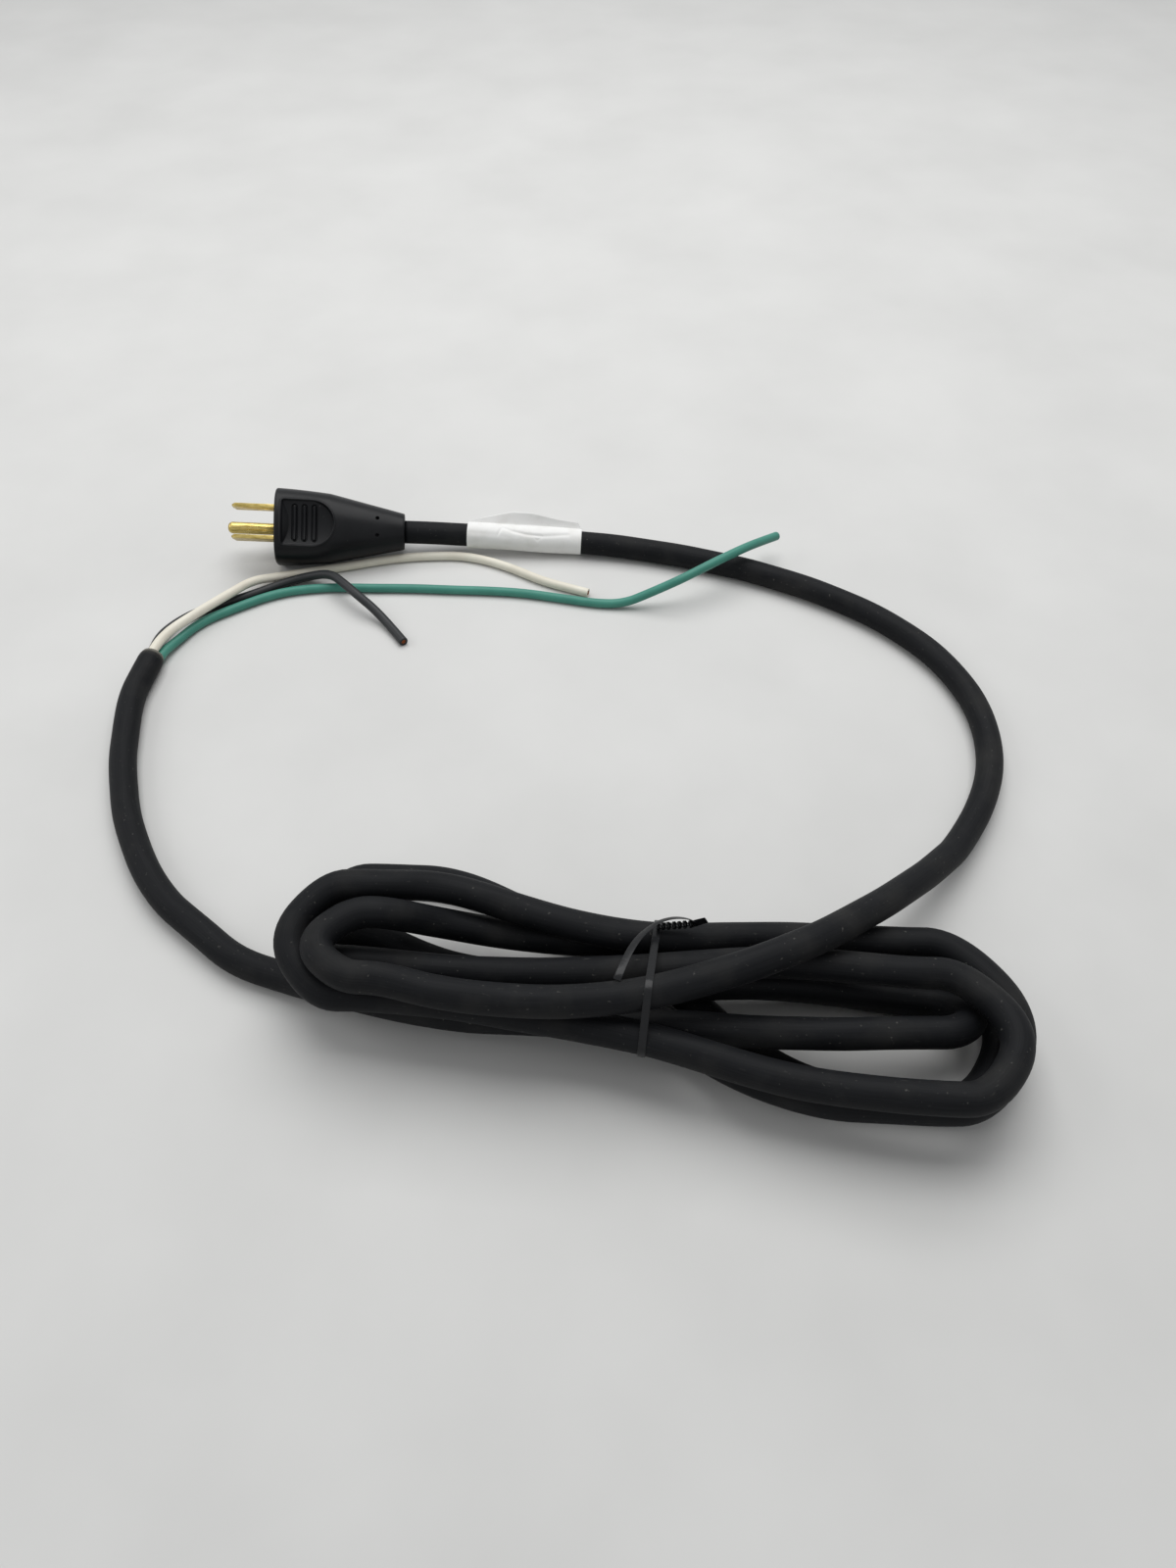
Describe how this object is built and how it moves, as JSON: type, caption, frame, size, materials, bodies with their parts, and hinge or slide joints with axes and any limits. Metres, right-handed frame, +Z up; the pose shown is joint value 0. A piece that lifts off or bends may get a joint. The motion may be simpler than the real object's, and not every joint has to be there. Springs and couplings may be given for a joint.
{
  "type": "shore power cord",
  "caption": "Bundled power supply cord: moulded grounding plug, round black cord wound in a tied hank, and free pigtail leads at the cut end.",
  "frame": {"origin": "centre of the bounding box on the surface that the bundle lies on", "axes": "+X runs from the plug's blades towards its cord and along the hank, +Y from the hank towards the plug, +Z up from the surface"},
  "size_m": [0.3242, 0.2801, 0.0399],
  "materials": {
    "plug_pvc": "moulded plug body, satin charcoal PVC",
    "plug_core_pvc": "inner moulding, matt",
    "brass": "stamped and formed brass, bright",
    "jacket_rubber": "matt charcoal rubber jacket",
    "insulation_white": "ivory PVC insulation",
    "insulation_green": "teal green PVC insulation",
    "insulation_black": "dark grey PVC insulation",
    "copper": "cut copper strands",
    "label_paper": "plain white paper",
    "tie_ribbon": "black plastic ribbon"
  },
  "bodies": {
    "root": {"blade_line": "brass", "blade_neutral": "brass", "copper_black": "copper", "copper_green": "copper", "copper_white": "copper", "cord_hank": "jacket_rubber", "cord_label": "label_paper", "cord_lead": "jacket_rubber", "cord_tail": "jacket_rubber", "core_ground": "insulation_green", "core_line": "insulation_black", "core_neutral": "insulation_white", "ground_pin": "brass", "jacket_end": "jacket_rubber", "jacket_in_plug": "jacket_rubber", "lead_black": "insulation_black", "lead_green": "insulation_green", "lead_white": "insulation_white", "plug_body": "plug_pvc", "plug_bridge": "plug_core_pvc", "strands_ground": "copper", "strands_line": "copper", "strands_neutral": "copper", "twist_tie": "tie_ribbon"}
  },
  "joints": []
}
